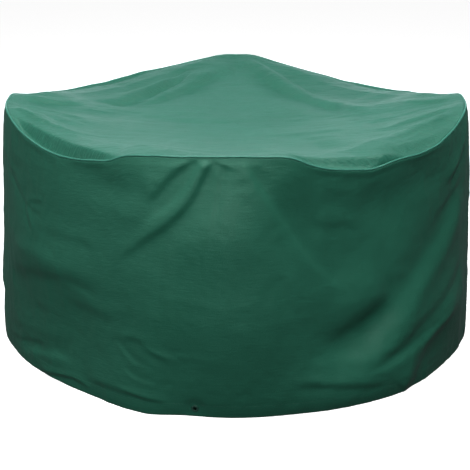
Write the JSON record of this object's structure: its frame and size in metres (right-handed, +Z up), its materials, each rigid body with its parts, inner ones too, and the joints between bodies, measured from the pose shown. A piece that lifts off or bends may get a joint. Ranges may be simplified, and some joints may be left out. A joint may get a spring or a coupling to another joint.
{
  "type": "patio furniture cover",
  "caption": "Round outdoor cover as it hangs over a table and chairs: coated-cloth top panel, deep skirt, piped rim seam, turned-up hem and tie-down eyelets.",
  "frame": {"origin": "on the ground under the middle of the cover, at the bottom centre of its bounding box", "axes": "+Z up; -Y towards the front, where one chair back lifts the rim; +X to the right seen from the front"},
  "size_m": [1.676, 1.664, 0.8495],
  "materials": {
    "cover_cloth": "dark green woven polyethylene cloth, coated, with a satin sheen and fine creases",
    "piping_cloth": "the same coated cloth folded round a cord",
    "cord_plastic": "plain round plastic filler cord",
    "seam_tape": "bonded waterproofing tape, slightly glossy",
    "eyelet_plastic": "dark green moulded plastic"
  },
  "bodies": {
    "root": {"top_panel": "cover_cloth", "skirt_front": "cover_cloth", "skirt_back": "cover_cloth", "rim_piping": "piping_cloth", "piping_cord": "cord_plastic", "seam_tape_right": "seam_tape", "seam_tape_left": "seam_tape", "eyelet_front": "eyelet_plastic", "eyelet_right": "eyelet_plastic", "eyelet_back": "eyelet_plastic", "eyelet_left": "eyelet_plastic", "eyelet_washer_front": "eyelet_plastic", "eyelet_washer_right": "eyelet_plastic", "eyelet_washer_back": "eyelet_plastic", "eyelet_washer_left": "eyelet_plastic"}
  },
  "joints": []
}
